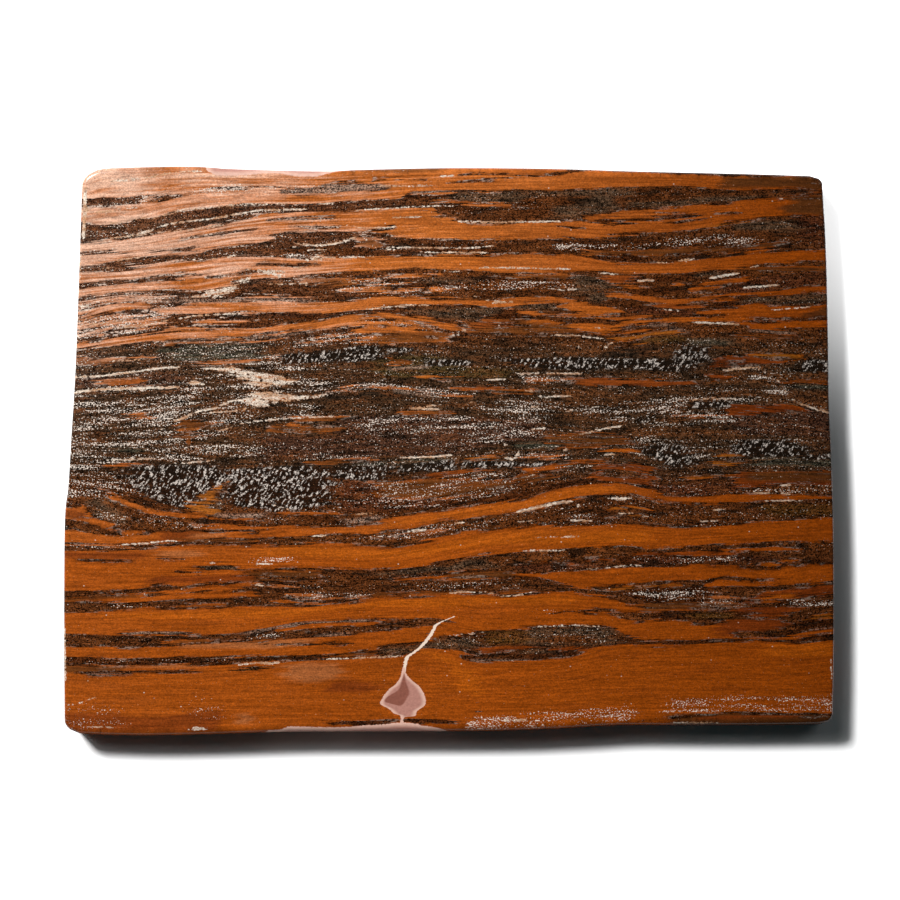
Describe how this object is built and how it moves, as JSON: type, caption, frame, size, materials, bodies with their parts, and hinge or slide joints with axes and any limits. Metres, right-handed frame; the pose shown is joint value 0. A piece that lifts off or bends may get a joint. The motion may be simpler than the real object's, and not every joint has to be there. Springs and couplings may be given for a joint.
{
  "type": "tiger iron slab",
  "caption": "Flat rectangular slab of banded tiger iron with a polished face, rounded corners, eased edges and a sawn back, lying face up.",
  "frame": {"origin": "under the middle of the slab, on the surface that its sawn back rests on", "axes": "+X along the longer side and the bands, +Y across the bands towards the far side, +Z out of the polished face"},
  "size_m": [0.307, 0.2272, 0.018],
  "materials": {
    "tiger_iron": "polished"
  },
  "bodies": {
    "root": {"slab": "tiger_iron"}
  },
  "joints": []
}
